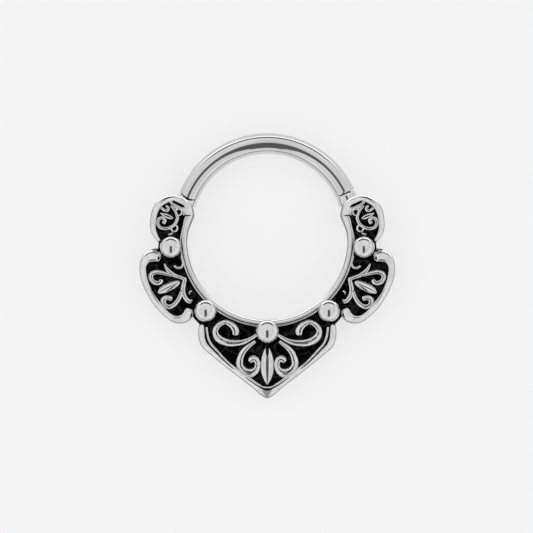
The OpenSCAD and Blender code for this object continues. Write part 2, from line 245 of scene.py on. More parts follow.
def section(*arcs):
    """Rows of place across, height below the crest and stain, all in half widths.

    Each arc is its first tilt, its last one, both climbing to the right, and its width.
    """
    x, z = -1.0, 0.0
    points = [(x, z)]
    for first, last, width in arcs:
        first, last = math.radians(first), math.radians(last)
        size = width / (math.sin(first) - math.sin(last))
        for i in range(1, ARC_POINTS + 1):
            tilt = first + (last - first) * i / ARC_POINTS
            points.append((x + size * (math.sin(first) - math.sin(tilt)),
                           z + size * (math.cos(tilt) - math.cos(first))))
        x, z = points[-1]
    heights = [z for x, z in points]
    crest = max(heights)
    stains = [HOLLOW_STAIN if z < min(max(heights[:i + 1]), max(heights[i:])) - HOLLOW else 0.0
              for i, z in enumerate(heights)]
    return [(x, z - crest, stain) for (x, z), stain in zip(points, stains)]


ROUND = section((52, -52, 2))
print("a round section is", round(-ROUND[0][1], 3), "half widths high")

# %% [markdown]
# On this ring a rim slopes outwards from a crest at its inner edge, and the middle one is
# creased beside that crest. A scroll has a fine groove along its crest, a stem has a vein, and a
# leaf has a vein, a bend or a broad back.

# %% The sections of this ring
def flipped(rows):
    return [(-x, z, stain) for x, z, stain in reversed(rows)]


VEINED = section((50, 4, 0.76), (-42, -32, 0.24), (32, 42, 0.24), (-4, -50, 0.76))
RIM = section((47, 40, 0.42), (39, 31, 0.2), (31, 25, 0.98), (18, 4, 0.18), (-16, -56, 0.22))
CREASED_RIM = section((47, 41, 0.42), (30, 27, 1.18), (-6, -12, 0.18), (-16, -56, 0.22))
HOLE_RIM = section((54, 16, 0.3), (-6, -38, 1.16), (-41, -47, 0.54))
LEFT_OUTSIDE = section((50, 18, 0.9), (16, 4, 0.16), (-42, -32, 0.22), (32, 42, 0.22),
                       (-8, -54, 0.5))
RIGHT_OUTSIDE = flipped(LEFT_OUTSIDE)
LEAF = section((50, 2, 0.92), (-46, -36, 0.08), (36, 46, 0.08), (-2, -50, 0.92))
BENT = section((52, 16, 1), (-4, -52, 1))
BROAD = section((52, 12, 0.56), (12, -12, 0.88), (-12, -52, 0.56))
print("a rim's section has", len(RIM), "points and a scroll's has", len(LEFT_OUTSIDE))

# %% [markdown]
# The sweep starts from one ring of edges across the line's first station. Extruding that
# ring and moving the new one to the next station gives the wall between them, again and again
# to the line's end, and then both ends are closed. A bevelled curve could be swept too, but here
# the ring has two feet under the section, which keep one height all along.

# %% The sweep along a line
LEVEL = 0.01   # the smallest difference in height


def sweep(bm, rows, top, shape, foot, arch):
    """Pulls a section along a line, with its crest at the height top and its feet at foot."""
    def setting(place, way, half, part):
        crest = FIELD + (top - FIELD) * part
        turn = Matrix.Rotation(math.atan2(way.y, way.x) - math.pi / 2, 4, "Z")
        return Matrix.Translation(place + Vector((0, 0, crest))) @ turn @ Matrix.Scale(half, 4)

    line = stations(rows, arch)
    now = setting(*line[0])
    stain = bm.verts.layers.float.new("stain")
    ring = [bm.verts.new(now @ Vector((x, 0, z))) for x, z, stained in shape]
    for vert, (x, z, stained) in zip(ring, shape):
        vert[stain] = stained
    feet = [bm.verts.new(now @ Vector((x, 0, 0))) for x in (1, -1)]
    for vert in feet:
        vert.co.z = foot
    edges = list(bm.faces.new(ring + feet).edges)
    for station in line[1:]:
        new = setting(*station)
        moved = bmesh.ops.extrude_edge_only(bm, edges=edges)["geom"]
        edges = [part for part in moved if isinstance(part, bmesh.types.BMEdge)]
        verts = [part for part in moved if isinstance(part, bmesh.types.BMVert)]
        feet = [vert for vert in verts if vert.co.z < foot + LEVEL]
        bmesh.ops.transform(bm, matrix=new @ now.inverted(), verts=verts)
        for vert in feet:
            vert.co.z = foot
        now = new
    bmesh.ops.contextual_create(bm, geom=edges)
    bmesh.ops.recalc_face_normals(bm, faces=bm.faces)


print("lines are rooted", round(FIELD - ROOT, 2), "mm above the back")

# %% [markdown]
# The separate solids are then joined into one, as casting makes them one piece of metal. They
# could also just overlap, but then no groove could be cut through all of them. The Boolean
# modifier joins them, with the manifold solver, which is quick and leaves no holes as long as
# each solid is closed. The first material slot of every solid is the polished steel and the
# second one is the blackened steel, and a Boolean keeps them.

# %% Helpers that make, join and cut solids
BRIGHT, BLACK = 0, 1


def solid(name, bm):
    mesh = bpy.data.meshes.new(name)
    bm.to_mesh(mesh)
    bm.free()
    piece = bpy.data.objects.new(name, mesh)
    bpy.context.scene.collection.objects.link(piece)
    return piece


def blackened(piece):
    """Numbers all faces as black, which also blackens what the piece cuts out of another."""
    for face in piece.data.polygons:
        face.material_index = BLACK
    return piece


def boolean(piece, operation, tools):
    """Joins or cuts a piece with other solids, which are used up."""
    group = bpy.data.collections.new("tools")
    for tool in tools:
        group.objects.link(tool)
    step = piece.modifiers.new("boolean", "BOOLEAN")
    step.operation = operation
    step.solver = "MANIFOLD"
    step.operand_type = "COLLECTION"
    step.collection = group
    bpy.context.view_layer.objects.active = piece
    bpy.ops.object.modifier_apply(modifier=step.name)
    for tool in tools:
        bpy.data.objects.remove(tool)
    bpy.data.collections.remove(group)


print("slots: polished steel", BRIGHT, "and blackened steel", BLACK)

# %% [markdown]
# The cast front starts with its plate. The plate's outline runs along the middle of the outer
# rims and round the hole, so the rims that come next cover its edge. Its top is the blackened
# field that the ornament stands on.

# %% The plate
HOLE_ROWS = 10    # pieces of the lines round the hole, from the side to the bottom
FACING_UP = 0.9   # a face whose normal points up more than this is the field


def prism(name, outline, low, height):
    """A solid with upright walls on an outline."""
    bm = bmesh.new()
    bottom = bm.faces.new([bm.verts.new((p.x, p.y, low)) for p in outline])
    walls = bmesh.ops.extrude_face_region(bm, geom=[bottom], use_keep_orig=True)["geom"]
    raised = [part for part in walls if isinstance(part, bmesh.types.BMVert)]
    bmesh.ops.translate(bm, vec=(0, 0, height), verts=raised)
    bmesh.ops.recalc_face_normals(bm, faces=bm.faces)
    return solid(name, bm)


def along_the_hole(reach, width, start):
    """Rows on a circle round the hole's centre, from an angle down to the bottom."""
    rows = []
    for i in range(HOLE_ROWS + 1):
        turn = math.radians(start - (90 + start) * i / HOLE_ROWS)
        rows.append((reach * math.cos(turn), HOLE_UP + reach * math.sin(turn), width))
    return rows


hole_rim = both_sides(HOLE_RIM_TOP + along_the_hole(HOLE_R + HOLE_RIM_W / 2, HOLE_RIM_W, -4))
outer = smooth(PENDANT_RIM)[::-1] + [Vector(PLATE_CORNER).to_3d()]
outer = outer + smooth(MIDDLE_RIM)[::-1] + smooth(UPPER_RIM)[::-1]
left = [Vector((-p.x, p.y, 0)) for p in outer[:0:-1]]
outline = outer + smooth(hole_rim) + left

front = prism("cast_front_finish", outline, 0, FIELD)
for face in front.data.polygons:
    face.material_index = BLACK if face.normal.z > FACING_UP else BRIGHT
print("plate outline:", len(outline), "points")

# %% [markdown]
# The outer rims go down to the back, because they are the ring's own edge. All other lines are
# rooted a little below the field. Lines that cross differ by a hair in height, so that no
# two surfaces lie in each other.

# %% The raised lines: rows, top, section, and True where the line goes down to the back
RIM_TOP = 1.72       # heights of the crests above the back
INNER_TOP = 1.6
SCROLL_TOP = 1.54
LEAF_TOP = 1.51
STEM_TOP = 1.48
LINE_TOP = 1.3
HOLE_LINE_R = 5.2    # radius of the fine line beside the rim round the hole
HOLE_LINE_W = 0.09
HOLE_LINE_TOP = [(4.97, 2.74, .04), (5.03, 2.42, .08), (5.11, 2.04, .09)]

right_half = [
    (UPPER_RIM, RIM_TOP, RIM, True),
    (MIDDLE_RIM, RIM_TOP - 2 * LEVEL, CREASED_RIM, True),
    (PENDANT_RIM, INNER_TOP + 2 * LEVEL, RIM, True),
    (UPPER_LOW_SCROLL, SCROLL_TOP, LEFT_OUTSIDE),
    (UPPER_HIGH_SCROLL, SCROLL_TOP - LEVEL, RIGHT_OUTSIDE),
    (MIDDLE_HIGH_SCROLL, SCROLL_TOP, RIGHT_OUTSIDE),
    (MIDDLE_LOW_SCROLL, SCROLL_TOP, LEFT_OUTSIDE),
    (PENDANT_BIG_SCROLL, SCROLL_TOP + 2 * LEVEL, LEFT_OUTSIDE),
    (PENDANT_SMALL_SCROLL, SCROLL_TOP + 3 * LEVEL, RIGHT_OUTSIDE),
    (MIDDLE_HIGH_STEM, STEM_TOP, VEINED),
    (MIDDLE_LOW_STEM, STEM_TOP - LEVEL, VEINED),
    (UPPER_BAND, STEM_TOP, ROUND),
    (UPPER_WEB, STEM_TOP - 5 * LEVEL, ROUND),
    (UPPER_BUD, LINE_TOP, ROUND),
    (LOBE_SHELF, FIELD + LEVEL, ROUND, True),
    (STEM_FORK, STEM_TOP - 2 * LEVEL, ROUND),
    (HIGH_HOOK, LINE_TOP, ROUND),
    (LOW_HOOK, LINE_TOP - 8 * LEVEL, ROUND),
    (PENDANT_LINE, INNER_TOP - 5 * LEVEL, ROUND),
]
hole_line = HOLE_LINE_TOP + along_the_hole(HOLE_LINE_R, HOLE_LINE_W, -1)
on_the_middle = [
    (both_sides(hole_line), LINE_TOP + 6 * LEVEL, ROUND),
    (hole_rim, INNER_TOP, HOLE_RIM, True),
    (both_sides(POINT_LINE), INNER_TOP - 6 * LEVEL, ROUND),
]
print("lines on each side:", len(right_half), "and across the middle:", len(on_the_middle))

# %% [markdown]
# The two arms of the pendant's rim meet in a mitre. One arm is swept past the middle and cut
# off there, and its mirror image gives the other. Then the point is filed blunt, and a small
# facet above it takes the corner off, with an edge along the middle. Modelling both arms with
# a shared corner would be harder than cutting them.

# %% The pendant's point
TIP = -7.96        # where the point is filed blunt
TIP_FACET = 0.70   # how far above that the facet starts
TIP_LEAN = 41.5    # lean of the facet
MERGE = 0.0001     # points closer than this become one


def everything(bm):
    return bm.verts[:] + bm.edges[:] + bm.faces[:]


def cut_off(bm, at, away, close=True):
    """Cuts a solid with a plane and takes away the side that the plane faces."""
    bmesh.ops.bisect_plane(bm, geom=everything(bm), plane_co=at, plane_no=away, clear_outer=True)
    if close:
        bmesh.ops.holes_fill(bm, edges=[e for e in bm.edges if e.is_boundary])


def make_point(bm, top):
    lean = math.radians(TIP_LEAN)
    cut_off(bm, (0, 0, 0), (-1, 0, 0), close=False)
    bmesh.ops.mirror(bm, geom=everything(bm), axis="X", merge_dist=MERGE)
    cut_off(bm, (0, TIP, 0), (0, -1, 0))
    cut_off(bm, (0, TIP + TIP_FACET, top), (0, -math.sin(lean), math.cos(lean)))
    bmesh.ops.bisect_plane(bm, geom=everything(bm), plane_co=(0, 0, 0), plane_no=(1, 0, 0))
    bmesh.ops.recalc_face_normals(bm, faces=bm.faces)


print("the point is", -TIP, "mm below the middle of the ring")

# %% [markdown]
# Each line becomes a solid of its own, and one more for the other side. A line that ends on the
# middle, which the pendant's rim does, is a single solid that meets its mirror image there.

# %% The solids of the raised lines
def raised_line(rows, top, shape, to_the_back=False, mirror=True, arch=0):
    """The solids of a line: one on each side, or a single one."""
    bm = bmesh.new()
    meets = mirror and rows[-1][0] == 0
    if meets:
        (x_before, y_before), (y, w) = rows[-2][:2], rows[-1][1:]
        rows = rows + [(-x_before, 2 * y - y_before, w)]
    sweep(bm, rows, top, shape, 0 if to_the_back else FIELD - ROOT, arch)
    if meets:
        make_point(bm, top)
    if meets or not mirror:
        return [solid("line", bm)]
    other = bm.copy()
    bmesh.ops.scale(other, vec=(-1, 1, 1), verts=other.verts)
    bmesh.ops.reverse_faces(other, faces=other.faces)
    return [solid("line", other), solid("line", bm)]


ornament = []
for line in right_half:
    ornament += raised_line(*line)
for line in on_the_middle:
    ornament += raised_line(*line, mirror=False)
ornament += raised_line(UPPER_LEAF, LEAF_TOP, LEAF)
ornament += raised_line(MIDDLE_LEAF, LEAF_TOP, BENT)
ornament += raised_line(PENDANT_LEAF, LEAF_TOP + 5 * LEVEL, BROAD, mirror=False, arch=0.25)
print("solids of the raised lines:", len(ornament))

# %% [markdown]
# Five beads sit on the front. A bead is a shallow dome, with a rounded shoulder and a straight
# neck, so that it leaves its mould without an undercut. A ball sunk into the plate would mirror
# too much of the tent's walls, so half an outline of the dome is spun once round its own middle.

# %% The beads
SIDE_BEADS = [(5.79, 1.13, .65), (3.70, -2.69, .665)]   # across, up, radius
MIDDLE_BEAD = (0, -3.93, .70)
BEAD_TOP = 1.92                # height of the beads' tops
DOME_TILT = math.radians(50)   # tilt of the dome where its shoulder starts
DOME_PART = 0.96               # part of the bead's radius that the dome takes up
DOME_STEPS = 14                # pieces of the outline on the dome
SHOULDER_STEPS = 6             # and on its shoulder
SPIN_STEPS = 64                # pieces of a full turn


def spun(name, outline, x, y):
    """Spins an outline of reaches and heights once round an upright axis."""
    bm = bmesh.new()
    corners = [bm.verts.new((reach, 0, up)) for reach, up in outline]
    for a, b in zip(corners, corners[1:]):
        bm.edges.new((a, b))
    if outline[0][0] > 0:
        bm.edges.new((corners[-1], corners[0]))
    bmesh.ops.spin(bm, geom=bm.verts[:] + bm.edges[:], cent=(0, 0, 0), axis=(0, 0, 1),
                   angle=math.tau, steps=SPIN_STEPS, use_merge=True)
    bmesh.ops.remove_doubles(bm, verts=bm.verts, dist=MERGE)
    bmesh.ops.recalc_face_normals(bm, faces=bm.faces)
    bmesh.ops.translate(bm, vec=(x, y, 0), verts=bm.verts)
    return solid(name, bm)


def bead(x, y, r):
    dome = r * DOME_PART / math.sin(DOME_TILT)
    shoulder = r * (1 - DOME_PART) / (1 - math.sin(DOME_TILT))
    outline = []
    for i in range(DOME_STEPS + 1):
        tilt = DOME_TILT * i / DOME_STEPS
        outline.append((dome * math.sin(tilt), BEAD_TOP - dome * (1 - math.cos(tilt))))
    reach, up = outline[-1]
    for i in range(1, SHOULDER_STEPS + 1):
        tilt = DOME_TILT + (math.pi / 2 - DOME_TILT) * i / SHOULDER_STEPS
        outline.append((reach + shoulder * (math.sin(tilt) - math.sin(DOME_TILT)),
                        up - shoulder * (math.cos(DOME_TILT) - math.cos(tilt))))
    outline += [(r, FIELD - ROOT), (0, FIELD - ROOT)]
    return spun("bead", outline, x, y)


for side in (-1, 1):
    ornament += [bead(side * x, y, r) for x, y, r in SIDE_BEADS]
ornament.append(bead(*MIDDLE_BEAD))
print("beads:", 2 * len(SIDE_BEADS) + 1, "and their tops are", BEAD_TOP, "mm up")

# %% [markdown]
# Tiny rings end the bands of the upper lobes, two on each side. Their hollow middle is as deep
# as the field, so it stays black. The outline of their wall is spun in the same way.

# %% The tiny rings
SMALL_RINGS = [(5.31, 3.24, .26), (5.58, 2.26, .26)]   # across, up, radius
RING_WALL = [                                          # part of the radius, height above the field
    (.48, -ROOT), (.48, .25), (.54, .32), (.7, .35), (.9, .32), (1, .25), (1, -ROOT)]

for side in (-1, 1):
    for x, y, r in SMALL_RINGS:
        wall = [(part * r, FIELD + up) for part, up in RING_WALL]
        ornament.append(spun("small_ring", wall, side * x, y))
print("solids of the ornament:", len(ornament))

# %% [markdown]
# The wire is bent to a part of a circle, so a circle of its thickness is spun round the bar's
# centre. A torus would have to be cut twice for the same stretch. Where the wire is sawn off,
# its edge is broken with a fine file, and that narrow bevel catches the light beside a seam.

# %% The bent wire
WIRE_SIDES = 64   # sides of the wire's circle
WIRE_STEP = 1.5   # degrees of bend in one step
EDGE = 0.07       # width of a broken edge


def wire_place(angle):
    """The matrix that stands at an angle on the bar's circle, with +X outwards and +Y along it."""
    turn = Matrix.Rotation(math.radians(angle), 4, "Z")
    return Matrix.Translation((0, BAR_UP, WIRE_UP)) @ turn @ Matrix.Translation((BAR_R, 0, 0))


def wire_arc(name, start, end, broken=None):
    """A stretch of the round wire, with both ends closed and the edge broken at one of them."""
    bm = bmesh.new()
    bmesh.ops.create_circle(bm, segments=WIRE_SIDES, radius=WIRE_R)
    bmesh.ops.rotate(bm, matrix=Matrix.Rotation(math.pi / 2, 3, "X"), verts=bm.verts)
    bmesh.ops.transform(bm, matrix=wire_place(start), verts=bm.verts)
    bmesh.ops.spin(bm, geom=bm.verts[:] + bm.edges[:], cent=(0, BAR_UP, WIRE_UP), axis=(0, 0, 1),
                   angle=math.radians(end - start), steps=round(abs(end - start) / WIRE_STEP))
    bmesh.ops.holes_fill(bm, edges=[e for e in bm.edges if e.is_boundary])
    bmesh.ops.recalc_face_normals(bm, faces=bm.faces)
    if broken is not None:
        flat = wire_place(broken).inverted()
        rim = [e for e in bm.edges if all(abs((flat @ v.co).y) < LEVEL for v in e.verts)]
        bmesh.ops.bevel(bm, geom=rim, offset=EDGE, offset_type="OFFSET", affect="EDGES",
                        segments=2, profile=0.5, material=-1)
    return solid(name, bm)


print("the bar's wire is", 2 * WIRE_R, "mm thick")

# %% [markdown]
# The pin, its bores and the round ends are turned or drilled, so they are plain cylinders. A
# flat block laid along the wire makes a tongue, or the slot that a tongue goes into.

# %% Cylinders and flat blocks
ROUND_SIDES = 96   # sides of a cylinder


def cylinder(name, at, radius, low, high, segments=ROUND_SIDES):
    bm = bmesh.new()
    bmesh.ops.create_cone(bm, cap_ends=True, segments=segments, radius1=radius, radius2=radius,
                          depth=high - low)
    bmesh.ops.translate(bm, vec=(at.x, at.y, (low + high) / 2), verts=bm.verts)
    return solid(name, bm)


def flat_block(name, place, wide, thick, back, on):
    """A block that reaches back and on along the wire from a place on it."""
    bm = bmesh.new()
    bmesh.ops.create_cube(bm, size=1)
    bmesh.ops.scale(bm, vec=(wide, back + on, thick), verts=bm.verts)
    bmesh.ops.translate(bm, vec=(0, (on - back) / 2, 0), verts=bm.verts)
    bmesh.ops.transform(bm, matrix=place, verts=bm.verts)
    return solid(name, bm)


print("a cylinder has", ROUND_SIDES, "sides")

# %% [markdown]
# Two stubs of wire stand on top of the casting. On the hinge side the stub is hollowed into a
# round seat for the bar's end, flared at its upper edge, and a flat tongue with the pin's bore
# stands up out of it. Seat and tongue are painted black. This is painted shade that darkens the
# seam round the bar's end.

# %% The stub and tongue at the hinge
SEAT_END = 154             # angle at which the stub's wire ends, well inside the seat
NECK_LEAN = 5              # how much the tongue's neck leans, to follow the wire's bend
NECK_L = 1.3               # length of the neck, from the pin into the casting
NECK_W = 1.92 * TONGUE_R   # width of the neck, a little less than the round end's
BORE_R = PIN_R + 0.03      # radius of the tongue's bore
BELOW, ABOVE = -1, 3       # heights below and above the whole ring, for what cuts right through

seat_r = SEAT_R + GAP
wire_top = WIRE_UP + WIRE_R
seat = spun("seat", [(0, BELOW), (seat_r, BELOW), (seat_r, wire_top - 2 * EDGE),
                     (seat_r + EDGE, wire_top), (seat_r + EDGE, ABOVE), (0, ABOVE)],
            hinge_at.x, hinge_at.y)
hinge_stub = wire_arc("hinge_stub", 180 - STUB_ANGLE, SEAT_END)
# The seat's cutter is painted black, so the seat it leaves is painted shade in the seam.
boolean(hinge_stub, "DIFFERENCE", [blackened(seat)])

tongue = cylinder("tongue", hinge_at, TONGUE_R, WIRE_UP - TONGUE_T / 2, WIRE_UP + TONGUE_T / 2)
lean = Matrix.Rotation(math.radians(HINGE_ANGLE + NECK_LEAN), 4, "Z")
neck_place = Matrix.Translation((hinge_at.x, hinge_at.y, WIRE_UP)) @ lean
neck = flat_block("neck", neck_place, NECK_W, TONGUE_T, 0, NECK_L)
boolean(tongue, "UNION", [neck])
boolean(tongue, "DIFFERENCE", [cylinder("bore", hinge_at, BORE_R, BELOW, ABOVE)])
# The tongue is painted black too. It is painted shade in the seam beside the bar's end.
blackened(tongue)
print("hinge stub:", len(hinge_stub.data.polygons), "faces, tongue:", len(tongue.data.polygons))

# %% [markdown]
# On the catch side the stub ends in a straight seam with a broken edge. It has an open slot
# for the bar's own tongue, which lies in it with a little play.

# %% The stub and slot at the catch
CATCH_L = 0.32                # length of the bar's tongue
PLAY = 1.2 * GAP              # free space beyond the end of a tongue
SLOT_T = TONGUE_T + 2 * GAP   # thickness of a slot for a tongue
ACROSS = 4 * WIRE_R           # width of a cutter that goes right across the wire
FAR = 3                       # reach of a cutter that goes on past the end of a piece

catch_stub = wire_arc("catch_stub", STUB_ANGLE, CATCH_ANGLE, broken=CATCH_ANGLE)
slot = flat_block("slot", wire_place(CATCH_ANGLE), ACROSS, SLOT_T, CATCH_L + PLAY, FAR)
boolean(catch_stub, "DIFFERENCE", [slot])
print("catch stub:", len(catch_stub.data.polygons), "faces")

# %% [markdown]
# After the casting come the engraver's cuts: fine grooves with upright walls. A bump texture
# could fake them, but a real wall stays dark from every side. They have a line's outline, and
# their walls and floors are black, because no polish reaches into them.

# %% Lines of the grooves: across, up, width
LEAF_SLOT = [(0, -4.70, .14), (0, -5.00, .20), (0, -5.28, .16), (0, -5.46, .05)]
POINT_GROOVE = [(1.32, -6.68, .03), (1.00, -6.91, .06), (.50, -7.24, .08), (0, -7.43, .13)]
PENDANT_GROOVE = [
    (3.75, -3.62, .05), (3.73, -4.00, .10), (3.68, -4.36, .12), (3.53, -4.69, .12),
    (3.19, -5.07, .10), (2.67, -5.61, .08), (2.26, -5.98, .07), (2.00, -6.19, .03)]
LEAF_CUT = [(6.06, -1.52, .02), (5.94, -1.46, .06), (5.72, -1.31, .08), (5.48, -1.13, .02)]
LOBE_GROOVE = [(6.40, 3.76, .03), (6.14, 3.98, .05), (5.84, 4.10, .06), (5.50, 4.15, .04)]
UPPER_LEAF_CUT = [(6.19, 3.07, .02), (6.06, 3.01, .07), (5.92, 2.96, .08), (5.79, 2.92, .02)]
LOBE_SLOT = [
    (5.68, 3.92, .03), (5.58, 3.85, .11), (5.44, 3.77, .13), (5.29, 3.71, .11), (5.15, 3.65, .13),
    (5.03, 3.56, .12), (4.97, 3.49, .03)]
BULB_SEAM = [(4.98, 3.04, .03), (4.85, 3.03, .07), (4.72, 3.01, .07), (4.58, 3.02, .02)]
HIGH_BULB_CUT = [(6.53, .57, .04), (6.52, .46, .13), (6.54, .35, .04)]
LOW_BULB_CUT = [(4.57, -2.82, .03), (4.56, -2.96, .09), (4.65, -3.10, .03)]
RIM_CUT = [(7.03, -1.38, .02), (6.87, -1.69, .04), (6.68, -2.02, .04), (6.50, -2.28, .02)]
print("rows of the longest groove:", len(PENDANT_GROOVE))

# %% [markdown]
# Now the plate, the ornament and the stubs become one casting, and each groove is cut to its
# own floor. A groove's cutter reaches above the casting, so its top leaves no skin.

# %% One casting with its grooves: line, height of the floor
CUTTER_H = 1   # how far a cutter reaches above its floor
grooves_on_the_middle = [(LEAF_SLOT, FIELD + 0.03), (both_sides(POINT_GROOVE), 1.34)]
grooves_on_both_sides = [
    (PENDANT_GROOVE, 1.36), (LEAF_CUT, LEAF_TOP - 0.12), (LOBE_GROOVE, RIM_TOP - 0.22),
    (UPPER_LEAF_CUT, LEAF_TOP - 0.16), (LOBE_SLOT, FIELD + 0.02), (BULB_SEAM, 1.3),
    (HIGH_BULB_CUT, 1.3), (LOW_BULB_CUT, 1.3), (RIM_CUT, 1.45)]


def groove(rows, floor, side):
    left, right = [], []
    for place, way, half, part in stations(rows):
        out = Vector((-way.y, way.x, 0)) * half
        left.append(place + out)
        right.append(place - out)
    outline = [Vector((side * p.x, p.y, 0)) for p in left + right[::-1]]
    return blackened(prism("groove", outline, floor, CUTTER_H))


grooves = [groove(rows, floor, 1) for rows, floor in grooves_on_the_middle]
for rows, floor in grooves_on_both_sides:
    grooves += [groove(rows, floor, 1), groove(rows, floor, -1)]
boolean(front, "UNION", ornament + [hinge_stub, tongue, catch_stub])
boolean(front, "DIFFERENCE", grooves)
print("grooves:", len(grooves), "and faces of the cast front:", len(front.data.polygons))

# %% [markdown]
# The bar is the same round wire. Its catch end is cut straight and carries a small tongue, and
# its hinge end is rounded about the pin and slotted for the tongue of the cast front. As on the
# bench, the wire is made too long, and what lies beyond the round end is cut away. The pin is
# pushed in from the back, so its bore stops short of the front.

# %% The hinged bar and its pin
CATCH_W = 0.7                 # width of the bar's tongue
BAR_END = 16                  # degrees that the wire runs on past the pin before it is cut
THROUGH = 3 * WIRE_R          # thickness of a block that cuts right through the wire
BAR_BORE_R = PIN_R + 0.01     # radius of the pin's bore in the bar
BORE_TOP = WIRE_UP + 0.48     # height at which that bore stops
PIN_BOTTOM = WIRE_UP - 0.56   # height of the pin's lower end
ROUND_END_SIDES = 160

seam = CATCH_ANGLE + math.degrees(math.asin(GAP / BAR_R))
bar = wire_arc("hinged_bar_finish", seam, HINGE_ANGLE + BAR_END, broken=seam)
catch = flat_block("catch", wire_place(CATCH_ANGLE), CATCH_W, TONGUE_T, CATCH_L, WIRE_R)
boolean(bar, "UNION", [catch])

at_the_pin = wire_place(HINGE_ANGLE)
beyond = flat_block("beyond", at_the_pin, 2 * ACROSS, THROUGH, 0, FAR)
round_end = cylinder("round_end", hinge_at, SEAT_R, BELOW, ABOVE, ROUND_END_SIDES)
boolean(beyond, "DIFFERENCE", [round_end])
fork = flat_block("fork", at_the_pin, ACROSS, SLOT_T, TONGUE_R + PLAY, FAR)
pin_bore = cylinder("pin_bore", hinge_at, BAR_BORE_R, BELOW, BORE_TOP)
boolean(bar, "DIFFERENCE", [beyond, fork, pin_bore])
pin = cylinder("hinge_pin_finish", hinge_at, PIN_R, PIN_BOTTOM, BORE_TOP - GAP)
print("bar:", len(bar.data.polygons), "faces, pin:", len(pin.data.polygons), "faces")

# %% [markdown]
# Now each piece is turned from millimetres into metres, shaded smooth with its real corners kept
# sharp, and set to move with its body of the measured model, whose own solids are hidden.

# %% The pieces join the frame
SHARP = math.radians(38)   # a corner sharper than this stays a corner


def into_frame(piece, node, body):
    piece.data.transform(Matrix.Scale(MM, 4))
    piece.data.shade_smooth()
    piece.data.set_sharp_from_angle(angle=SHARP)
    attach(piece, body)
    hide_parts(node)
    low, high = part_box(node)
    print(piece.name, "replaces", node, [round((b - a) / MM, 2) for a, b in zip(low, high)], "mm")


into_frame(front, "cast_front", "front")
into_frame(bar, "hinged_bar", "bar")
into_frame(pin, "hinge_pin", "bar")

# %% [markdown]
# The caster blackens the whole front in an oxide bath and then polishes the high places bright
# again, so the black stays in the recesses and creeps a little up the walls. That creep is kept
# as a number on every vertex, beside the stain of the sections' hollows: it is 1 on the field and
# falls to 0 a little above it. The wire of the stubs is polished all over.

# %% Where the black stays
CREEP = 0.16   # how far the black creeps up a wall
stain = front.data.attributes["stain"]
for vert, value in zip(front.data.vertices, stain.data):
    above = vert.co.z / MM - FIELD
    reach = math.hypot(vert.co.x / MM, vert.co.y / MM - BAR_UP) - BAR_R
    off_wire = math.hypot(reach, vert.co.z / MM - WIRE_UP) > WIRE_R + LEVEL
    if -LEVEL < above < CREEP and off_wire:
        value.value = max(value.value, 1 - above / CREEP)
print("stained vertices:", sum(value.value > 0 for value in stain.data))

# %% [markdown]
# Three helpers serve all the materials. One turns a hex colour as seen on screen into the linear
# values that the renderer works with, and one starts a material without any nodes. The third adds
# a node: it is given the node's inputs in their order or by name, and the node's own settings by
# name. A Map Range node's inputs are the value, the two ends of the range that it comes in, and
# what it becomes at each of them.

# %% Helpers for materials
PER_MM = 1 / MM             # scale of a noise with one feature in a millimetre
NOISE = (0.3, 0.7)          # nearly all values of a noise lie between these
NOISE_CORE = (0.35, 0.65)   # and most of them between these


def colour(code):
    parts = [int(code[i:i + 2], 16) / 255 for i in (1, 3, 5)]
    return [c / 12.92 if c <= 0.04045 else ((c + 0.055) / 1.055) ** 2.4 for c in parts] + [1]


def add(tree, kind, *inputs, **named):
    """Adds a node. A node or an output that is given as an input is linked, a value is set."""
    node = tree.nodes.new("ShaderNode" + kind)
    given = []
    for name, value in named.items():
        socket = node.inputs.get(name.replace("_", " "))
        if socket:
            given.append((socket, value))
        else:
            setattr(node, name, value)
    given += zip([socket for socket in node.inputs if socket.enabled], inputs)
    for socket, value in given:
        if isinstance(value, bpy.types.Node):
            value = next(output for output in value.outputs if output.enabled)
        if isinstance(value, bpy.types.NodeSocket):
            tree.links.new(value, socket)
        else:
            socket.default_value = value
    return node


def new_material(name):
    material = bpy.data.materials.new(name)
    material.use_nodes = True
    material.node_tree.nodes.clear()
    return material, material.node_tree


print("middle grey as the renderer sees it:", round(colour("#808080")[0], 3))

# %% [markdown]
# Polished cast 316L stainless steel. It mirrors nearly all the light, with next to no tint.
# Casting leaves faint waves that buffing softens, so the mirror is slightly uneven, and the
# buffing wheel leaves patches that are a little duller. The blackening stays in the corners,
# where the wheel doesn't reach. A painted map could hold it, but the number on the vertices
# follows the relief by itself, and two noises give it a ragged edge.

# %% Polished cast steel with blackening in its corners
WAVES, PATCHES, SPECKS = 0.9, 2.5, 14   # how many there are in a millimetre
POLISH = (0.04, 0.09)                   # roughness of the polish, at its best and its dullest
OXIDE = 0.35                            # roughness that the black adds
RAGGED = 0.2                            # how much the noises move the edge of the black
STAIN_EDGE = (0.4, 0.8)                 # stain where the black starts, and where it is full

cast_steel, tree = new_material("polished_cast_316L_steel")
place = add(tree, "TexCoord").outputs["Object"]
waves = add(tree, "TexNoise", place, Scale=WAVES * PER_MM, Detail=2.0, Roughness=0.5)
patches = add(tree, "TexNoise", place, Scale=PATCHES * PER_MM, Detail=3.0)
specks = add(tree, "TexNoise", place, Scale=SPECKS * PER_MM, Detail=2.0)

stained = add(tree, "Attribute", attribute_name="stain").outputs["Fac"]
ragged = add(tree, "MapRange", specks, *NOISE_CORE, -RAGGED, RAGGED)
patchy = add(tree, "MapRange", patches, *NOISE_CORE, -RAGGED, RAGGED)
edge = add(tree, "Math", stained, ragged, operation="ADD")
worn = add(tree, "Math", edge, patchy, operation="ADD")
black = add(tree, "MapRange", worn, *STAIN_EDGE)

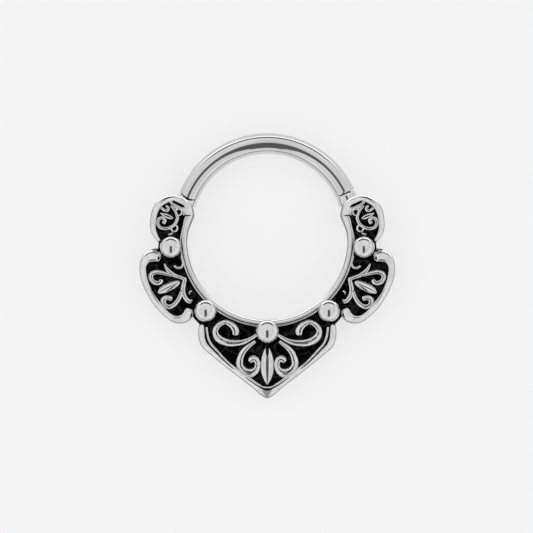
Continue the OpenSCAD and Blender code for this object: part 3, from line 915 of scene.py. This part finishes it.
tone = add(tree, "MapRange", patches, *NOISE)
metal = add(tree, "Mix", tone, colour("#D0D0D0"), colour("#DEDEDE"), data_type="RGBA")
surface = add(tree, "Mix", black, metal, colour("#1A1A1B"), data_type="RGBA")
gloss = add(tree, "MapRange", patches, *NOISE, *POLISH)
dull = add(tree, "Math", black, OXIDE, gloss, operation="MULTIPLY_ADD")
bump = add(tree, "Bump", Strength=0.12, Distance=0.02 * MM, Height=waves)
shader = add(tree, "BsdfPrincipled", Metallic=1.0, Base_Color=surface, Roughness=dull, Normal=bump)
add(tree, "OutputMaterial", shader)
print(cast_steel.name, "has", len(tree.nodes), "nodes")

# %% [markdown]
# The blackened field is steel under a thin dark oxide. It is almost black and half matt, with a
# fine grain from the mould. Thin winding lines on it are painted a little greyer. This painted
# sheen stands in for light on faint ripples of the cast field, which are not modelled. To the
# eye it is the dark ground that makes the bright lines stand out. On the hinge's seat and tongue
# the same black is painted shade.

# %% Blackened steel
RIPPLES, GRAINS = 1.5, 12   # how many there are in a millimetre
CREST = 0.07                # how far from its middle value the noise is still a ripple's crest

black_steel_with_painted_shade_and_sheen, tree = new_material("oxide_blackened_steel_with_painted_shade_and_sheen")
place = add(tree, "TexCoord").outputs["Object"]
ripples = add(tree, "TexNoise", place, Scale=RIPPLES * PER_MM, Detail=1.0, Distortion=0.5)
# Painted sheen: where the noise is near its middle value, thin lines are painted greyer.
from_middle = add(tree, "Math", ripples, 0.5, operation="SUBTRACT")
off_sheen_line = add(tree, "Math", from_middle, operation="ABSOLUTE")
tone = add(tree, "MapRange", off_sheen_line, 0.0, CREST, 1.0, 0.0)
surface = add(tree, "Mix", tone, colour("#090909"), colour("#303030"), data_type="RGBA")
grain = add(tree, "TexNoise", place, Scale=GRAINS * PER_MM, Detail=2.0)
bump = add(tree, "Bump", Strength=0.1, Distance=0.004 * MM, Height=grain)
shader = add(tree, "BsdfPrincipled", Metallic=1.0, Base_Color=surface, Roughness=0.5, Normal=bump)
add(tree, "OutputMaterial", shader)
print(black_steel_with_painted_shade_and_sheen.name, "has", len(tree.nodes), "nodes")

# %% [markdown]
# The bar is drawn and polished wire, the smoothest steel of the ring. Drawing leaves hair lines
# along it. A noise stretched along one axis would cross a bent wire, so the noise is read in
# coordinates that run along the wire: the angle about the bar's centre times the radius, the
# distance from that centre, and the height. Real hair lines are too fine to show, so these are
# drawn coarser.

# %% Drawn wire
HAIR_LINES = 9.0            # how many there are in a millimetre across the wire
STRETCH = 30                # how much longer than wide a hair line is
WIRE_POLISH = (0.03, 0.07)  # roughness of the wire, at its best and its dullest


def along_the_wire(tree):
    """Coordinates in millimetres along, across and up on the wire, drawn out along it."""
    place = add(tree, "TexCoord").outputs["Object"]
    centred = add(tree, "VectorMath", place, (PER_MM,) * 3, (0, -BAR_UP, 0),
                  operation="MULTIPLY_ADD")
    x, y, z = add(tree, "SeparateXYZ", centred).outputs
    turn = add(tree, "Math", x, y, operation="ARCTAN2")
    run = add(tree, "Math", turn, BAR_R / STRETCH, operation="MULTIPLY")
    flat = add(tree, "VectorMath", centred, (1, 1, 0), operation="MULTIPLY")
    reach = add(tree, "VectorMath", flat, operation="LENGTH")
    return add(tree, "CombineXYZ", run, reach, z)


bar_steel, tree = new_material("drawn_and_polished_316L_wire")
hair_lines = add(tree, "TexNoise", along_the_wire(tree), Scale=HAIR_LINES, Detail=3.0)
gloss = add(tree, "MapRange", hair_lines, *NOISE, *WIRE_POLISH)
tone = add(tree, "MapRange", hair_lines, *NOISE)
metal = add(tree, "Mix", tone, colour("#CECECE"), colour("#D8D8D8"), data_type="RGBA")
bump = add(tree, "Bump", Strength=0.1, Distance=0.004 * MM, Height=hair_lines)
shader = add(tree, "BsdfPrincipled", Metallic=1.0, Base_Color=metal, Roughness=gloss, Normal=bump)
add(tree, "OutputMaterial", shader)
print(bar_steel.name, "has", len(tree.nodes), "nodes")

# %% [markdown]
# The pin is ground wire, cropped to length. Its ends show the rings that facing leaves, so
# they are duller than the polished bar around them. A wave pattern of rings is moved to the
# pin's middle. Real rings are finer, but would not show.

# %% Ground pin
RINGS = 3               # the wave pattern has 3.2 rings in a unit, so about 9.5 in a millimetre
GROUND = (0.22, 0.34)   # roughness of the ends, between the rings and on them

pin_steel, tree = new_material("ground_stainless_pin")
place = add(tree, "TexCoord").outputs["Object"]
centred = add(tree, "Mapping", place, Location=(-hinge_at.x * MM, -hinge_at.y * MM, 0))
rings = add(tree, "TexWave", centred, wave_type="RINGS", rings_direction="Z", Scale=RINGS * PER_MM,
            Distortion=0.5).outputs["Fac"]
gloss = add(tree, "MapRange", rings, 0.0, 1.0, *GROUND)
tone = add(tree, "Mix", rings, colour("#B4B3B1"), colour("#C2C1BF"), data_type="RGBA")
shader = add(tree, "BsdfPrincipled", Metallic=1.0, Base_Color=tone, Roughness=gloss)
add(tree, "OutputMaterial", shader)
print(pin_steel.name, "has", len(tree.nodes), "nodes")

# %% [markdown]
# The finishes go onto the pieces in the order that the faces' numbers mean: the polished steel
# first and the blackened steel second. Clearing a mesh's slots sets all those numbers to 0, so
# they are read before and written back after.

# %% Finishes go onto the pieces
finished = [(front, [cast_steel, black_steel_with_painted_shade_and_sheen]), (bar, [bar_steel]), (pin, [pin_steel])]
for piece, finishes in finished:
    numbers = [face.material_index for face in piece.data.polygons]
    piece.data.materials.clear()
    for finish in finishes:
        piece.data.materials.append(finish)
    for face, number in zip(piece.data.polygons, numbers):
        face.material_index = number
    print(piece.name, {finish.name: numbers.count(i) for i, finish in enumerate(finishes)})

# %% [markdown]
# The ring lies on a plain sheet of white acrylic. Such a sheet is lit from below too, so that
# the ground stays white and only a faint shadow shows where the ring lies. Here the sheet glows
# by itself, which needs no lamp below it.

# %% The sheet
SHEET = 1.5         # half the side of the sheet, in metres
SHEET_GLOW = 0.64   # with the tent's light on it, this makes the sheet almost white

bm = bmesh.new()
bmesh.ops.create_grid(bm, x_segments=1, y_segments=1, size=SHEET)
sheet = solid("white_sheet", bm)
acrylic, tree = new_material("white_acrylic_sheet")
shader = add(tree, "BsdfPrincipled", Base_Color=colour("#9A9A9A"), Roughness=0.7,
             Specular_IOR_Level=0.1, Emission_Color=(1, 1, 1, 1), Emission_Strength=SHEET_GLOW)
add(tree, "OutputMaterial", shader)
sheet.data.materials.append(acrylic)
print("sheet:", 2 * SHEET, "m wide")

# %% [markdown]
# A white tent stands over the ring, such as jewellery is photographed in. Polished metal needs
# something dark to mirror, or its shape can't be read. The slits that the lens looks through
# are dark, and so is the seam at the tent's far side, above a bright strip. A grey hem runs low
# along the other sides. The tent could be built of sheets, but so small a ring mirrors only the
# direction of what is round it, so the world's light is painted by direction.

# %% The parts of the tent
world = bpy.data.worlds.new("tent")
world.use_nodes = True
tree = world.node_tree
tree.nodes.clear()
way = add(tree, "TexCoord").outputs["Generated"]
split = add(tree, "SeparateXYZ", way)


def patch(**sides):
    """1 in a patch of the tent between two values of X, Y or Z, with soft edges, and 0 outside."""
    inside = None
    for axis, (low, high, soft) in sides.items():
        value = split.outputs[axis]
        rise = add(tree, "MapRange", value, low - soft, low + soft, 0.0, 1.0,
                   interpolation_type="SMOOTHSTEP")
        fall = add(tree, "MapRange", value, high - soft, high + soft, 1.0, 0.0,
                   interpolation_type="SMOOTHSTEP")
        both = add(tree, "Math", rise, fall, operation="MULTIPLY")
        inside = both if inside is None else add(tree, "Math", inside, both, operation="MULTIPLY")
    return inside


lens_slit = patch(X=(-0.19, 0.19, 0.03), Y=(-0.64, 0.13, 0.06))
low_slit = patch(X=(-0.16, 0.16, 0.03), Y=(-0.79, -0.55, 0.04))
far_seam = patch(Z=(0.20, 0.46, 0.03), Y=(0.7, 2, 0.1))
far_strip = patch(Z=(-0.2, 0.17, 0.03), Y=(0.7, 2, 0.1))
hem = patch(Z=(-0.2, 0.13, 0.04), Y=(-2, 0.5, 0.2))
print("nodes for the tent's parts:", len(tree.nodes))

# %% [markdown]
# The cloth of the tent glows a little brighter low on the walls than overhead, and its folds
# make that uneven. Each part then multiplies the glow by its own factor. Beyond the sheet the
# camera sees a plain light grey, as in a catalogue.

# %% The light of the tent
WALL = (0.1, 0.9)          # Z of the direction to the foot of the wall, and to its top
WALL_GLOW = (1.24, 1.13)   # glow at its foot, and at its top
FOLDS = 0.14               # how much the folds add or take away
FOLD_SCALE = 2.2           # about how many folds there are from the roof to the horizon
STRIP_FACTOR = 2.1
HEM_FACTOR = 0.38
DARK_FACTOR = 0.14

folds = add(tree, "TexNoise", way, Scale=FOLD_SCALE, Detail=1.5)
slits = add(tree, "Math", lens_slit, low_slit, operation="MAXIMUM")
dark = add(tree, "Math", slits, far_seam, operation="MAXIMUM")
glow = add(tree, "MapRange", split.outputs["Z"], *WALL, *WALL_GLOW)
factors = [add(tree, "MapRange", folds, *NOISE, 1 - FOLDS, 1 + FOLDS),
           add(tree, "MapRange", hem, 0.0, 1.0, 1.0, HEM_FACTOR),
           add(tree, "MapRange", far_strip, 0.0, 1.0, 1.0, STRIP_FACTOR),
           add(tree, "MapRange", dark, 0.0, 1.0, 1.0, DARK_FACTOR)]
for factor in factors:
    glow = add(tree, "Math", glow, factor, operation="MULTIPLY")
tent = add(tree, "Background", Strength=glow)
plain = add(tree, "Background", Color=colour("#F2F2F2"))
seen = add(tree, "LightPath").outputs["Is Camera Ray"]
add(tree, "OutputWorld", add(tree, "MixShader", seen, tent, plain))
bpy.context.scene.world = world
bpy.context.scene.view_settings.view_transform = "Standard"
print("nodes of the tent:", len(tree.nodes))

# %% [markdown]
# The camera looks straight down on the lying ring, as the photograph looks straight at its
# front. A short lens close by would fill the picture too, but a long one from far away keeps
# the walls of the casting out of sight.

# %% The camera
LENS = 300.0                    # focal length
SENSOR = 36.0                   # width of the sensor
PIXELS = 533                    # width of the picture
PIXEL = 0.06                    # what one pixel shows at the ornament's height
ORNAMENT_UP = 1.5               # that height
OFF_MIDDLE = (-0.048, -0.039)   # where the camera stands, across and up from the ring's middle

eye = bpy.data.cameras.new("camera")
eye.lens = LENS
eye.sensor_width = SENSOR
eye.clip_start = 0.01
eye.clip_end = 10
camera = bpy.data.objects.new("camera", eye)
distance = PIXELS * PIXEL * LENS / SENSOR + ORNAMENT_UP
camera.location = Vector((*OFF_MIDDLE, distance)) * MM
bpy.context.scene.collection.objects.link(camera)
bpy.context.scene.camera = camera
print("camera", round(distance), "mm above the sheet")
